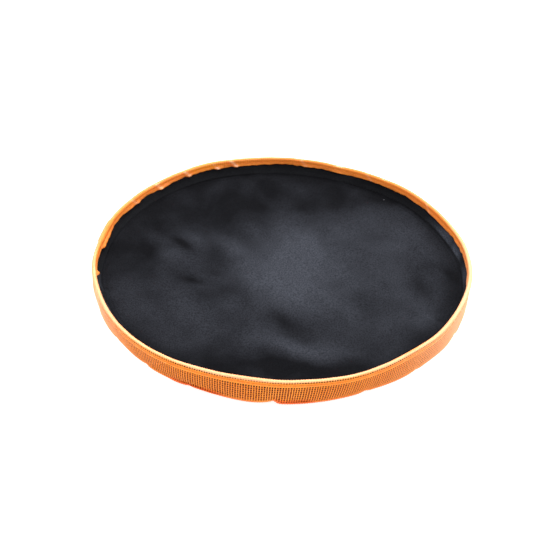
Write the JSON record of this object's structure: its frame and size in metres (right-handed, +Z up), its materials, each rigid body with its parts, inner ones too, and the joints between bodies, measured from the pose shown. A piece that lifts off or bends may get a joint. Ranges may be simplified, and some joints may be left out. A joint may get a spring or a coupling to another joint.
{
  "type": "soft throwing disc",
  "caption": "Soft sewn throwing disc with a closed padded fabric floor, a stand-up rim and a perforated mesh tape folded over the rim, lying open side up.",
  "frame": {"origin": "middle of the disc on the plane that it rests on", "axes": "+Z up along the disc's axis, towards the open side; X and Y lie in the rest plane, and the tape's end lap and the joint of the rim core lie near -X"},
  "size_m": [0.2404, 0.2404, 0.018],
  "materials": {
    "face_fabric": "matte woven black polyester",
    "floor_padding": "soft needled felt, hidden",
    "rim_foam": "closed-cell foam strip, hidden",
    "mesh_tape": "perforated orange mesh tape with a soft sheen",
    "core_plastic": "soft plastic tube, hidden",
    "orange_thread": "twisted polyester thread",
    "black_thread": "twisted polyester thread"
  },
  "bodies": {
    "root": {"floor_panel_inner": "face_fabric", "floor_panel_outer": "face_fabric", "wall_lining_strip": "face_fabric", "floor_interlining": "floor_padding", "rim_wall_foam": "rim_foam", "rim_tape": "mesh_tape", "rim_core_tube": "core_plastic", "core_joining_pin": "core_plastic", "bead_seam_needle_thread": "orange_thread", "bead_seam_bobbin_thread": "orange_thread", "base_seam_needle_thread": "orange_thread", "base_seam_bobbin_thread": "black_thread", "corner_seam_thread": "black_thread", "tape_end_bartack": "orange_thread"}
  },
  "joints": []
}
